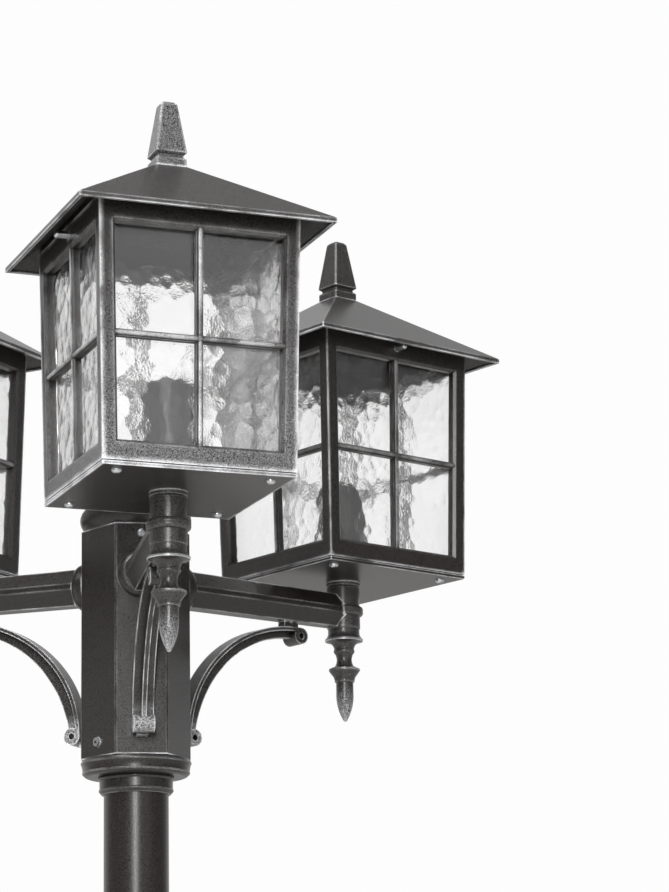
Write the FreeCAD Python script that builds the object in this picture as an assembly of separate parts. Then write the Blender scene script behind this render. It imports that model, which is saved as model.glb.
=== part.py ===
"""Triple head lamp post: three glazed lanterns on braced arms round one pole.

Millimetres, +Z up, origin on the pole's axis at ground level, front arm along -Y.
Heights of the head are measured from the hub's underside (HUB_Z above ground).
"""
import FreeCAD, Part
import math
import os

V = FreeCAD.Vector
X, Y, Z = V(1, 0, 0), V(0, 1, 0), V(0, 0, 1)
O = V(0, 0, 0)

# post
POLE_D = 60.0            # steel tube, outside
POLE_WALL = 2.5
POLE_SEAT = 22.0         # shelf in the foot that the tube stands on
POLE_IN_HUB = 70.0       # how far the tube runs up inside the hub
POLE_FIT = 0.1           # radial fit of tube in foot, collar and hub
HUB_Z = 1640.0           # hub underside above ground

# foot casting
FOOT_R = 140.0
FOOT_FLANGE_T = 11.0
FOOT_PLINTH_R = 102.0
FOOT_PLINTH_H = 24.0
FOOT_NECK_R = POLE_D / 2 + 11.0
FOOT_H = 186.0
FOOT_SLEEVE = 8.0        # wall of the inner sleeve round the tube
FOOT_WALL = 7.0
CABLE_HOLE_R = 20.0
ANCHOR_N = 4
ANCHOR_PCD = 236.0
ANCHOR_D = 12.0
FOOT_SCREW_N = 3
FOOT_SCREW_D = 8.0
FOOT_SCREW_Z = 152.0

# hub, cap and collar
HUB_H = 215.5
ARM_DROP = 49.2          # arm's axis below the hub's top edge
ARM_Z = HUB_H - ARM_DROP
HUB_AP = 45.6            # axis to an arm facet
HUB_FACET_HALF = 24.0    # half width of an arm facet
HUB_WALL = 8.0
HUB_IN_AP = HUB_AP - HUB_WALL    # axis to the inner walls
HUB_BEYOND = HUB_AP * 1.4        # past every facet, for holes through them
HUB_EDGE = 1.1           # bevel on the long edges
HUB_PLUG_H = 30.0        # thick lower end round the tube
SET_D = 8.0
SET_Z = 13.5
SET_PROUD = 2.6
CAP_BEAD_R = HUB_AP + 6.7
CAP_BEAD_H = 22.0
CAP_RISE = 12.5
CAP_SPIGOT_L = 18.0
CAP_SPIGOT_WALL = 6.0
CAP_FIT = 0.2
CAP_SCREW_DROP = 9.9     # cap screws below the hub's top edge
CAP_SCREW_D = 5.0
COLLAR_R = HUB_AP + 5.7
COLLAR_H = 16.3
SLEEVE_R = POLE_D / 2 + 4.1
SLEEVE_H = 16.1
BLOCK_W, BLOCK_T, BLOCK_H = 34.0, 15.0, 46.0
BLOCK_Z = ARM_Z - 71.3   # clear of the arms' nuts above it

# arms
ARM_N = 3
ARM_L = 255.0            # pole axis to lantern axis
ARM_HALF_H = (17.3, 16.2)   # half height at the hub and at the holder
ARM_HALF_W = (16.4, 15.6)
ARM_FLAT = 7.5           # half width of the top and bottom flats
ARM_SIDE = 2.6           # half height of the narrow side flats
ARM_BORE_R = 6.0
TAIL_R = 10.0
TAIL_FIT = 0.15
NUT_AF, NUT_T = 30.0, 9.0
TENON_R, TENON_L = 8.0, 7.0
ROSETTE_R = 22.5
ROSETTE_T = 13.0
ROSETTE_NOSE_R = 17.6

# turned holder under each lantern
HOLDER_TIP_Z = ARM_Z - 109.3
HOLDER_R = 16.4
HOLDER_BEAD_R = HOLDER_R + 3.0
BELL1_R = 18.8
BELL2_R = 15.4
BULLET_R = 8.5
WIRE_R = 4.0

# brace: T section, outer curve a quarter ellipse, rib edge an arc
BRACE_W = 19.6
BRACE_FLANGE_T = 4.0
BRACE_RIB_T = 4.6
BRACE_X0, BRACE_Z0 = HUB_AP + 7.9, 25.0          # outer face beside the lower eye
BRACE_X1, BRACE_Z1 = 186.3, ARM_Z - 23.1         # crown of the outer face
BRACE_RUN = 6.5                      # level run from the crown to the upper eye
RIB_DEPTH = (10.4, 13.0)             # under the crown and beside the lower eye
RIB_CX, RIB_TOP = BRACE_X1 + 1.9, BRACE_Z1 - RIB_DEPTH[0]
RIB_RUN, RIB_RISE = RIB_CX - BRACE_X0 - RIB_DEPTH[1], RIB_TOP - BRACE_Z0
RIB_R = (RIB_RUN ** 2 + RIB_RISE ** 2) / (2 * RIB_RISE)
RIB_CZ = RIB_TOP - RIB_R
EYE_R, EYE_HOLE_R = 8.0, 3.0
LUG_L, LUG_W = 17.0, 10.0
LUG_X = 184.0
PIN_D = 6.0
PIN_IN = 5.0

# lantern body
PLATE_Z = ARM_Z + 29.7
PLATE_HALF = 85.8
PLATE_T = 3.2
REVEAL = 3.0             # inset of the step between plate and frame
REVEAL_T = 1.0
FRAME_Z = PLATE_Z + PLATE_T + REVEAL_T
FRAME_H = 227.8
FRAME_TOP_Z = FRAME_Z + FRAME_H
FRAME_TAPER = 0.0213     # outward lean of each wall
FRAME_WALL = 9.0
STILE = 14.0
SILL_Z, HEAD_Z = FRAME_Z + 17.8, FRAME_TOP_Z - 22.0
BAR_Z = (SILL_Z + HEAD_Z) / 2 - 2.0
BAR_W, BAR_SET = 6.2, 3.4     # flat back bar, its face below the wall's face
BEAD_R = 2.7
BOSS_R = 3.7
BEVEL = 2.4
PANE_T = 2.5
PANE_FIT = 0.1
PANE_TOP_GAP = 5.0       # pane's top edge above the window's head
CLIP_LEG, CLIP_T = 10.0, 1.2
CLIP_H = SILL_Z - FRAME_Z - 1.8      # hidden behind the window's sill
CLIP_FOOT_H = 9.0
PLATE_SCREW_IN = 17.6
PLATE_SCREW_D = 5.0
THUMB_Z = FRAME_TOP_Z - 9.4
THUMB_D = 6.6
THUMB_OUT = 13.0

# lampholder
NIPPLE_R = 5.0
NIPPLE_DOWN = 22.0
NIPPLE_FIT = 0.05
NIPPLE_NUT_AF, NIPPLE_NUT_T = 17.0, 5.0
LAMP_R = 23.5
LAMP_TOP_Z = FRAME_Z + 91.8
LAMP_WALL = 3.0
E27_D = 27.0
E27_DEPTH = 30.0
SHELL_T = 0.6
CONTACT_R, CONTACT_H = 4.0, 3.0    # centre contact, level with the shell's floor
CONTACT_GROOVE_R = 9.0

# roof and finial
EAVE_OUT = 24.35         # overhang past the frame's top edge
EAVE_HALF = PLATE_HALF + FRAME_H * FRAME_TAPER + EAVE_OUT
EAVE_Z = FRAME_TOP_Z - 11.9
LIP_H = 4.25
ROOF_T = 3.0
RIDGE_Z = EAVE_Z + LIP_H + 67.65
SKIRT_T = 3.0
SKIRT_DROP = 15.0
SKIRT_GAP = 0.4
BLOCK_HALF = 13.9
BASE_BLOCK_H = 7.5
GROOVE_H, GROOVE_IN = 6.0, 2.3
OBELISK_HALF = (14.3, 7.6)
OBELISK_H = 46.5
OBELISK_EDGE = 1.2
OBELISK_CAP_H = 2.2
STUD_R = 4.0
STUD_L = 17.0
FINIAL_NUT_AF, FINIAL_NUT_T = 13.0, 6.5
APEX_T = 10.0            # solid thickness at the roof's apex

# azimuth of each arm from -Y toward +X, and each lantern's own turn on its holder
SIDES = {"front": (0.0, 11.6), "right": (120.0, -0.4), "left": (-120.0, -8.2)}


def turned(profile, base=O, axis=Z, radial=X):
    """Solid of revolution; entries are (r, z), or (r_mid, z_mid, r, z) for an arc."""
    at = lambda r, z: base + radial * r + axis * z
    edges, last = [], profile[0]
    for p in list(profile[1:]) + [profile[0]]:
        a, b = at(*last[-2:]), at(*p[-2:])
        if len(p) == 4:
            edges.append(Part.Arc(a, at(p[0], p[1]), b).toShape())
        elif a.distanceToPoint(b) > 1e-6:
            edges.append(Part.makeLine(a, b))
        last = p
    return Part.Face(Part.Wire(edges)).revolve(base, axis, 360)


def rod(r, a, b):
    """Round bar of radius r from point a to point b."""
    return Part.makeCylinder(r, a.distanceToPoint(b), a, b - a)


def box(x0, x1, y0, y1, z0, z1):
    return Part.makeBox(x1 - x0, y1 - y0, z1 - z0, V(x0, y0, z0))


def polygon(points):
    return Part.makePolygon(list(points) + [points[0]])


def prism(points, direction):
    return Part.Face(polygon(points)).extrude(direction)


def hexagon(af, base, axis, length):
    """Hexagon bar of width af across flats, with a flat facing up or front."""
    solid = prism([V(af / math.sqrt(3) * math.cos(math.radians(60 * i)),
                     af / math.sqrt(3) * math.sin(math.radians(60 * i)), 0) for i in range(6)],
                  V(0, 0, length))
    solid.Placement = FreeCAD.Placement(base, FreeCAD.Rotation(Z, axis))
    return solid


def square(half, z, edge=0.0):
    """Square wire centred on the axis; edge > 0 cuts its corners."""
    points = []
    for sx, sy in ((1, -1), (1, 1), (-1, 1), (-1, -1)):
        if edge:
            first, second = (half - edge, half), (half, half - edge)
            if sx * sy > 0:
                first, second = second, first
            points += [V(sx * first[0], sy * first[1], z), V(sx * second[0], sy * second[1], z)]
        else:
            points.append(V(sx * half, sy * half, z))
    return polygon(points)


def frustum(half0, z0, half1, z1, edge=0.0):
    return Part.makeLoft([square(half0, z0, edge), square(half1, z1, edge)], True, True)


def moved(solid, placement):
    out = solid.copy()
    out.Placement = placement.multiply(solid.Placement)
    return out


def azimuth(angle):
    a = math.radians(angle)
    return V(math.sin(a), -math.cos(a), 0)


def on_arm(solid, angle):
    """From the arm's own frame (+X outward, head heights) into the part's frame."""
    return moved(solid, FreeCAD.Placement(V(0, 0, HUB_Z), FreeCAD.Rotation(Z, angle - 90)))


def on_holder(solid, angle, turn):
    """From the lantern's own frame (front along -Y) into the part's frame."""
    return moved(solid, FreeCAD.Placement(azimuth(angle) * ARM_L + V(0, 0, HUB_Z),
                                          FreeCAD.Rotation(Z, angle + turn)))


def pan_screw(d, length, head_d, head_h, drive=0.4):
    """Pan head screw along +Z, its head's underside at the origin, slotted."""
    head = turned([(0, 0), (head_d / 2, 0), (head_d * 0.42, -head_h * 0.66, head_d * 0.2, -head_h),
                   (0, -head_h)])
    slot = box(-head_d, head_d, -d * 0.12, d * 0.12, -head_h - 1, -head_h * (1 - drive))
    return head.cut(slot).fuse(rod(d / 2, O, V(0, 0, length))).removeSplitter()


def set_screw(d, length, socket):
    """Grub screw along +Z, its socket end at the origin."""
    return rod(d / 2, O, V(0, 0, length)).cut(hexagon(socket, O, Z, d * 0.45))


def placed(solid, base, axis):
    """The solid with its own +Z turned along axis and its origin at base."""
    return moved(solid, FreeCAD.Placement(base, FreeCAD.Rotation(Z, axis)))


def pole_tube():
    r, top = POLE_D / 2, HUB_Z + POLE_IN_HUB
    tube = rod(r, V(0, 0, POLE_SEAT), V(0, 0, top))
    return tube.cut(rod(r - POLE_WALL, V(0, 0, POLE_SEAT - 1), V(0, 0, top + 1)))


def base_foot():
    """Round cast foot: bolting flange, plinth, waisted bell and beaded neck."""
    bore = POLE_D / 2 + POLE_FIT
    sleeve = bore + FOOT_SLEEVE
    z1, z2 = FOOT_FLANGE_T, FOOT_FLANGE_T + FOOT_PLINTH_H
    zn = FOOT_H - 52.0
    outer = turned([
        (CABLE_HOLE_R, 0), (FOOT_R, 0), (FOOT_R, z1 - 3), (FOOT_R - 0.9, z1 - 0.9, FOOT_R - 3, z1),
        (FOOT_PLINTH_R, z1), (FOOT_PLINTH_R, z2 - 6),
        (FOOT_PLINTH_R - 1.5, z2 - 1.5, FOOT_PLINTH_R - 6, z2), (FOOT_PLINTH_R - 10, z2),
        (FOOT_NECK_R + 16, z2 + (zn - z2) * 0.34, FOOT_NECK_R, zn),
        (FOOT_NECK_R, FOOT_H - 24), (FOOT_NECK_R + 6, FOOT_H - 16, FOOT_NECK_R, FOOT_H - 8),
        (FOOT_NECK_R - 3, FOOT_H), (bore, FOOT_H), (bore, POLE_SEAT), (CABLE_HOLE_R, POLE_SEAT)])
    hollow = turned([(sleeve, -1), (FOOT_PLINTH_R - FOOT_WALL, -1),
                     (FOOT_PLINTH_R - FOOT_WALL, z2 - FOOT_WALL), (FOOT_NECK_R + 34, z2),
                     (FOOT_NECK_R + 11, z2 + (zn - z2) * 0.22, sleeve, z2 + (zn - z2) * 0.6)])
    foot = outer.cut(hollow)
    for i in range(ANCHOR_N):
        p = azimuth(45 + 360.0 / ANCHOR_N * i) * (ANCHOR_PCD / 2)
        foot = foot.cut(rod(ANCHOR_D / 2, p - Z, p + Z * (z1 + 1)))
    for p, n in foot_screw_spots():
        foot = foot.cut(rod(FOOT_SCREW_D / 2, p - n * 2 * FOOT_SLEEVE, p + n * FOOT_SLEEVE))
    return foot


def foot_screw_spots():
    for i in range(FOOT_SCREW_N):
        n = azimuth(60 + 360.0 / FOOT_SCREW_N * i)
        yield n * FOOT_NECK_R + Z * FOOT_SCREW_Z, n


def foot_screws():
    length = FOOT_NECK_R - POLE_D / 2
    return Part.makeCompound([placed(set_screw(FOOT_SCREW_D, length, 4.0), p, n * -1)
                              for p, n in foot_screw_spots()])


def hub_collar():
    """Ribbed collar under the hub with its short sleeve on the tube."""
    b, c, s = POLE_D / 2 + POLE_FIT, COLLAR_R, SLEEVE_R
    under, end = -COLLAR_H, -COLLAR_H - SLEEVE_H
    return turned([
        (b, 0), (c - 3.4, 0), (c - 1.5, -0.9, c - 0.5, -2.7), (c, -3.7, c - 0.5, -4.8),
        (c - 1.4, -8.2, c - 1.7, -11.8), (c - 1.4, -12.8, c - 2.3, -13.9), (c - 4.4, -15.7, c - 7.6, under),
        (s + 0.6, under), (s + 1.0, under - 1.2, s + 0.6, under - 2.6), (s, under - 3.4),
        (s - 0.2, end + 5.2), (s + 0.5, end + 4.0, s - 0.1, end + 2.4), (s - 2.2, end), (b, end)],
        V(0, 0, HUB_Z))


def hub_points(ap, half, z):
    points = []
    for i in range(ARM_N):
        d = azimuth(360.0 / ARM_N * i)
        side = V(-d.y, d.x, 0)
        points += [d * ap - side * half + Z * z, d * ap + side * half + Z * z]
    return points


def hub_between_ap():
    """Axis to a facet between two arms."""
    lean = math.atan2(HUB_FACET_HALF, HUB_AP)
    return math.hypot(HUB_FACET_HALF, HUB_AP) * math.cos(math.pi / ARM_N - lean)


def hub_body():
    """Hollow six sided column with a thick lower end bored for the tube."""
    hub = prism(hub_points(HUB_AP, HUB_FACET_HALF, 0), V(0, 0, HUB_H))
    long_edges = [e for e in hub.Edges if abs(e.tangentAt(e.FirstParameter).z) > 0.99]
    hub = hub.makeChamfer(HUB_EDGE, long_edges)
    inner = HUB_IN_AP * math.tan(math.pi / 6)
    hub = hub.cut(prism(hub_points(HUB_IN_AP, inner, HUB_PLUG_H), V(0, 0, HUB_H)))
    hub = hub.cut(rod(POLE_D / 2 + POLE_FIT, -Z, Z * (HUB_PLUG_H + 1)))
    set_dir = azimuth(-60)
    near, far = HUB_IN_AP / 2, HUB_BEYOND
    hub = hub.cut(rod(SET_D / 2, set_dir * near + Z * SET_Z, set_dir * far + Z * SET_Z))
    for i in range(ARM_N):
        d = azimuth(360.0 / ARM_N * i)
        hub = hub.cut(rod(TAIL_R + TAIL_FIT, d * near + Z * ARM_Z, d * far + Z * ARM_Z))
        z = HUB_H - CAP_SCREW_DROP
        hub = hub.cut(rod(CAP_SCREW_D / 2, d * near + Z * z, d * far + Z * z))
        z = LOWER_LUG_Z
        hub = hub.cut(rod(PIN_D / 2, d * (HUB_AP - PIN_IN) + Z * z, d * far + Z * z))
    hub.translate(V(0, 0, HUB_Z))
    return hub


def hub_set_screw():
    n, ap = azimuth(-60), hub_between_ap()
    length = ap + SET_PROUD - POLE_D / 2
    return placed(set_screw(SET_D, length, 4.0), n * (ap + SET_PROUD) + Z * (HUB_Z + SET_Z), n * -1)


def hub_cap():
    """Beaded cap with a low dome and a spigot inside the hub."""
    s, t = HUB_IN_AP - CAP_FIT, CAP_SPIGOT_WALL
    bead, top = CAP_BEAD_R, HUB_H + CAP_BEAD_H
    cap = turned([
        (s - t, HUB_H - CAP_SPIGOT_L), (s, HUB_H - CAP_SPIGOT_L), (s, HUB_H), (bead - 5.4, HUB_H),
        (bead, HUB_H + CAP_BEAD_H * 0.42, bead - 6.3, top),
        (bead * 0.55, top + CAP_RISE * 0.7, 5, top + CAP_RISE), (0, top + CAP_RISE),
        (0, top + CAP_RISE - 5),
        (s - t, top - 3)])
    for i in range(ARM_N):
        d, z = azimuth(360.0 / ARM_N * i), HUB_H - CAP_SCREW_DROP
        cap = cap.cut(rod(CAP_SCREW_D / 2, d * (s - t - 3) + Z * z, d * HUB_AP + Z * z))
    cap.translate(V(0, 0, HUB_Z))
    return cap


def cap_screws():
    length = HUB_AP - (HUB_IN_AP - CAP_FIT - CAP_SPIGOT_WALL)
    screw = placed(pan_screw(CAP_SCREW_D, length, 8.0, 3.0),
                   V(HUB_AP, 0, HUB_H - CAP_SCREW_DROP), X * -1)
    return Part.makeCompound([on_arm(screw, 360.0 / ARM_N * i) for i in range(ARM_N)])


def terminal_block():
    """Cable terminal block on the hub's inner rear wall."""
    y1 = HUB_IN_AP
    block = box(-BLOCK_W / 2, BLOCK_W / 2, y1 - BLOCK_T, y1, BLOCK_Z, BLOCK_Z + BLOCK_H)
    rows = 3
    for i in range(rows):
        z = BLOCK_Z + BLOCK_H * (i + 0.5) / rows
        for x in (-BLOCK_W / 4, BLOCK_W / 4):
            block = block.cut(rod(2.6, V(x, y1 - BLOCK_T - 1, z), V(x, y1 - BLOCK_T + 6, z)))
        if i:
            zs = BLOCK_Z + BLOCK_H * i / rows
            block = block.cut(box(-BLOCK_W, BLOCK_W, y1 - BLOCK_T - 1, y1 - BLOCK_T + 3,
                                  zs - 0.8, zs + 0.8))
    block.translate(V(0, 0, HUB_Z))
    return block


def rosette():
    """Round boss between the hub's facet and the arm."""
    r, n, t = ROSETTE_R, ROSETTE_NOSE_R, ROSETTE_T
    bore = TAIL_R + TAIL_FIT
    return turned([(bore, 0), (r, 0), (r, t * 0.42), (r - 1.4, t * 0.78, n, t), (bore, t)],
                  V(HUB_AP, 0, ARM_Z), X, Z)


def arm_section(x, half_h, half_w):
    f, s = ARM_FLAT, ARM_SIDE
    points = [(-f, half_h), (f, half_h), (half_w, s), (half_w, -s),
              (f, -half_h), (-f, -half_h), (-half_w, -s), (-half_w, s)]
    return polygon([V(x, y, ARM_Z + z) for y, z in points])


def arm():
    """Hollow eight sided arm with a threaded tail and a tenon in the holder."""
    x0 = HUB_AP + ROSETTE_T
    bar = Part.makeLoft([arm_section(x0, ARM_HALF_H[0], ARM_HALF_W[0]),
                         arm_section(ARM_L, ARM_HALF_H[1], ARM_HALF_W[1])], True, True)
    bar = bar.cut(holder_outside())
    tail = HUB_IN_AP - NUT_T - 3
    bar = bar.fuse(rod(TAIL_R, V(tail, 0, ARM_Z), V(x0 + 1, 0, ARM_Z)))
    end = ARM_L - HOLDER_R + TENON_L
    bar = bar.fuse(rod(TENON_R, V(ARM_L - HOLDER_BEAD_R - 4, 0, ARM_Z), V(end, 0, ARM_Z)))
    bar = bar.cut(rod(ARM_BORE_R, V(tail - 1, 0, ARM_Z), V(end + 1, 0, ARM_Z)))
    pin = V(LUG_X, 0, ARM_Z - ARM_HALF_H[1] - 2)
    return bar.cut(rod(PIN_D / 2, pin, pin + Z * (arm_under(LUG_X) + PIN_IN - pin.z))).removeSplitter()


def arm_under(x):
    """Height of the arm's underside at x from the pole's axis."""
    x0 = HUB_AP + ROSETTE_T
    k = (x - x0) / (ARM_L - x0)
    return ARM_Z - ARM_HALF_H[0] - (ARM_HALF_H[1] - ARM_HALF_H[0]) * k


def arm_nuts():
    nut = hexagon(NUT_AF, V(HUB_IN_AP - NUT_T, 0, ARM_Z), X, NUT_T)
    nut = nut.cut(rod(TAIL_R, V(0, 0, ARM_Z), V(HUB_AP, 0, ARM_Z)))
    return Part.makeCompound([on_arm(nut, 360.0 / ARM_N * i) for i in range(ARM_N)])


def holder_outside():
    """Turned profile of the lantern holder, from the plate down to its point."""
    h, b, a = HOLDER_R, HOLDER_BEAD_R, ARM_Z
    return turned([
        (0, PLATE_Z), (h + 0.4, PLATE_Z), (h + 0.4, PLATE_Z - 3.8), (h - 0.8, PLATE_Z - 4.6),
        (h - 0.1, PLATE_Z - 5.6), (h - 0.4, a + 5.5), (b - 0.6, a + 4.1, b, a + 0.5),
        (b - 0.6, a - 3.1, h, a - 4.5), (h, a - 16.5), (h - 0.8, a - 17.3), (h - 0.8, a - 20.3),
        (h - 0.1, a - 24.1, BELL1_R, a - 27.3), (BELL1_R, a - 29.3), (12.4, a - 31.7, 9.8, a - 37.1),
        (10.4, a - 39.1, 9.6, a - 41.1), (8.9, a - 41.9), (7.5, a - 48.5, 9.4, a - 54.1),
        (BELL2_R, a - 57.0), (BELL2_R, a - 58.6), (10.9, a - 64.7), (9.9, a - 67.9),
        (9.9, a - 69.7), (BULLET_R, a - 70.5), (BULLET_R + 0.1, a - 84.3),
        (6.7, a - 96.5, 1.4, HOLDER_TIP_Z + 0.5), (0, HOLDER_TIP_Z)], V(ARM_L, 0, 0))


def holder():
    """Turned holder, bored for the nipple, the wires and the arm's tenon."""
    low = ARM_Z - ARM_BORE_R
    body = holder_outside()
    body = body.cut(rod(NIPPLE_R + NIPPLE_FIT, V(ARM_L, 0, ARM_Z + ARM_BORE_R), V(ARM_L, 0, PLATE_Z + 1)))
    body = body.cut(rod(WIRE_R, V(ARM_L, 0, low), V(ARM_L, 0, ARM_Z + ARM_BORE_R + 1)))
    return body.cut(rod(TENON_R, V(ARM_L - 30, 0, ARM_Z), V(ARM_L - HOLDER_R + TENON_L, 0, ARM_Z))
                    ).cut(rod(WIRE_R, V(ARM_L - 30, 0, ARM_Z), V(ARM_L, 0, ARM_Z)))


def quarter_ellipse(inset, width):
    """Elliptic cylinder whose surface lies inset inside the brace's outer curve."""
    a, b = BRACE_X1 - BRACE_X0 - inset, BRACE_Z1 - BRACE_Z0 - inset
    c = V(BRACE_X1, -width / 2, BRACE_Z0)
    far, near = (c + X * a, c + Z * b) if a > b else (c + Z * b, c + X * a)
    curve = Part.Ellipse(far, near, c)
    return Part.Face(Part.Wire([curve.toShape()])).extrude(V(0, width, 0))


def brace():
    """Curved T section bracket with a rolled eye and a seating lug at each end."""
    w, t, run = BRACE_W, BRACE_FLANGE_T, BRACE_X1 + BRACE_RUN
    upper, lower = (run, BRACE_Z1 - EYE_R), (BRACE_X0 + EYE_R, BRACE_Z0)
    window = box(BRACE_X0, BRACE_X1, -w, w, BRACE_Z0, BRACE_Z1 + 1)
    flange = quarter_ellipse(0, w).cut(quarter_ellipse(t, w)).common(window)
    rib = quarter_ellipse(1, BRACE_RIB_T).common(window)
    rib = rib.fuse(box(BRACE_X1, run, -BRACE_RIB_T / 2, BRACE_RIB_T / 2, BRACE_Z0, BRACE_Z1 - 1))
    rib = rib.cut(rod(RIB_R, V(RIB_CX, -w, RIB_CZ), V(RIB_CX, w, RIB_CZ)))
    solid = flange.fuse([rib, box(BRACE_X1, run, -w / 2, w / 2, BRACE_Z1 - t, BRACE_Z1)])
    for x, z in (upper, lower):
        solid = solid.fuse(rod(EYE_R, V(x, -w / 2, z), V(x, w / 2, z)))
    for x, z in (upper, lower):
        solid = solid.cut(rod(EYE_HOLE_R, V(x, -w, z), V(x, w, z)))
    half = LUG_L / 2
    solid = solid.fuse(box(HUB_AP, BRACE_X0 + 2, -LUG_W / 2, LUG_W / 2,
                           LOWER_LUG_Z - half, LOWER_LUG_Z + half))
    top = [V(LUG_X + dx, -LUG_W / 2, z) for dx, z in (
        (-half, BRACE_Z1 - 2), (half, BRACE_Z1 - 2),
        (half, arm_under(LUG_X + half)), (-half, arm_under(LUG_X - half)))]
    solid = solid.fuse(prism(top, V(0, LUG_W, 0)))
    solid = solid.cut(rod(PIN_D / 2, V(HUB_AP - 1, 0, LOWER_LUG_Z), V(HUB_AP + PIN_IN, 0, LOWER_LUG_Z)))
    pin_top = arm_under(LUG_X)
    return solid.cut(rod(PIN_D / 2, V(LUG_X, 0, pin_top - PIN_IN), V(LUG_X, 0, pin_top + 2))).removeSplitter()


LOWER_LUG_Z = BRACE_Z0 - EYE_R + LUG_L / 2 - 1.5


def brace_pins():
    """Two plain pins to each brace: one in the hub, one in the arm."""
    z = arm_under(LUG_X)
    lower = rod(PIN_D / 2, V(HUB_AP - PIN_IN, 0, LOWER_LUG_Z), V(HUB_AP + PIN_IN, 0, LOWER_LUG_Z))
    upper = rod(PIN_D / 2, V(LUG_X, 0, z - PIN_IN), V(LUG_X, 0, z + PIN_IN))
    return Part.makeCompound([on_arm(pin, 360.0 / ARM_N * i) for i in range(ARM_N)
                              for pin in (lower, upper)])


def wall_half(z):
    """Half width of the frame's outside at height z."""
    return PLATE_HALF + (z - FRAME_Z) * FRAME_TAPER


def on_wall(solid, i):
    """From the wall's frame (x across, y inward from its face, z up it) to wall i."""
    lean = FreeCAD.Rotation(X, math.degrees(math.atan(FRAME_TAPER)))
    seat = FreeCAD.Placement(V(0, -PLATE_HALF, FRAME_Z), lean)
    return moved(solid, FreeCAD.Placement(O, FreeCAD.Rotation(Z, 90 * i)).multiply(seat))


def up_wall(z):
    """Distance up the leaning wall that reaches height z."""
    return (z - FRAME_Z) * math.hypot(1, FRAME_TAPER)


def window_outline(grow, y):
    """Window opening in the wall's frame, grown all round, at depth y."""
    points = []
    for z, sx in ((SILL_Z, -1), (SILL_Z, 1), (HEAD_Z, 1), (HEAD_Z, -1)):
        dz = -grow if z == SILL_Z else grow
        points.append(V(sx * (wall_half(z) - STILE + grow), y, up_wall(z) + dz))
    return points


def bottom_plate():
    """Square floor plate with the raised step that the frame stands on."""
    plate = frustum(PLATE_HALF, PLATE_Z, PLATE_HALF, PLATE_Z + PLATE_T)
    half = PLATE_HALF - REVEAL
    plate = plate.fuse(frustum(half, PLATE_Z + PLATE_T - 0.5, half, FRAME_Z))
    plate = plate.cut(rod(NIPPLE_R, V(0, 0, PLATE_Z - 1), V(0, 0, FRAME_Z + 1)))
    for p in plate_screw_spots():
        plate = plate.cut(rod(PLATE_SCREW_D / 2, p - Z, p + Z * (FRAME_Z - PLATE_Z + 1)))
    return plate


def plate_screw_spots():
    s = PLATE_HALF - PLATE_SCREW_IN
    return [V(sx * s, sy * s, PLATE_Z) for sx in (-1, 1) for sy in (-1, 1)]


def plate_screws():
    screw = pan_screw(PLATE_SCREW_D, FRAME_Z - PLATE_Z + CLIP_FOOT_H * 0.7, 9.0, 3.2)
    return Part.makeCompound([placed(screw, p, Z) for p in plate_screw_spots()])


def lantern_frame():
    """One casting: four leaning walls, each a two by two window with beaded bars."""
    solid = frustum(PLATE_HALF, FRAME_Z, wall_half(FRAME_TOP_Z), FRAME_TOP_Z)
    solid = solid.cut(frustum(PLATE_HALF - FRAME_WALL, FRAME_Z, wall_half(FRAME_TOP_Z) - FRAME_WALL,
                              FRAME_TOP_Z))
    hole = prism(window_outline(0, -1), V(0, FRAME_WALL + 2, 0))
    bevel = Part.makeLoft([polygon(window_outline(BEVEL + 0.5, -0.5)),
                           polygon(window_outline(0, BEVEL))], True, True)
    cutter = hole.fuse(bevel)
    bars = window_bars()
    for i in range(4):
        solid = solid.cut(on_wall(cutter, i))
    for i in range(4):
        solid = solid.fuse(on_wall(bars, i))
    face = wall_half(THUMB_Z)
    for sx in (-1, 1):
        solid = solid.cut(rod(THUMB_D / 2, V(sx * (face - 2 * FRAME_WALL), 0, THUMB_Z),
                              V(sx * (face + 1), 0, THUMB_Z)))
    return solid.removeSplitter()


def window_bars():
    """Upright and level bar with half round noses and a round boss at the crossing."""
    z0, z1, zb = up_wall(SILL_Z) - BEVEL, up_wall(HEAD_Z) + BEVEL, up_wall(BAR_Z)
    half = wall_half(BAR_Z) - STILE + BEVEL
    w = BAR_W / 2
    bars = box(-w, w, BAR_SET, FRAME_WALL, z0, z1).fuse([
        box(-half, half, BAR_SET, FRAME_WALL, zb - w, zb + w),
        rod(BEAD_R, V(0, BAR_SET, z0), V(0, BAR_SET, z1)),
        rod(BEAD_R, V(-half, BAR_SET, zb), V(half, BAR_SET, zb)),
        Part.makeSphere(BOSS_R, V(0, BAR_SET, zb))])
    return bars.common(box(-half, half, -FRAME_WALL, FRAME_WALL, z0, z1))


def pane_bounds():
    y0 = FRAME_WALL + PANE_FIT
    z0, z1 = up_wall(FRAME_Z) + PANE_FIT, up_wall(HEAD_Z) + PANE_TOP_GAP
    edge = FRAME_WALL + PANE_T + 3 * PANE_FIT
    return y0, z0, z1, edge


def panes():
    """Four flat panes inside the frame, standing on the floor plate."""
    y0, z0, z1, edge = pane_bounds()
    a = PLATE_HALF - edge
    b = a + z1 * FRAME_TAPER
    pane = prism([V(-a, y0, z0), V(a, y0, z0), V(b, y0, z1), V(-b, y0, z1)], V(0, PANE_T, 0))
    return Part.makeCompound([on_wall(pane, i) for i in range(4)])


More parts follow.
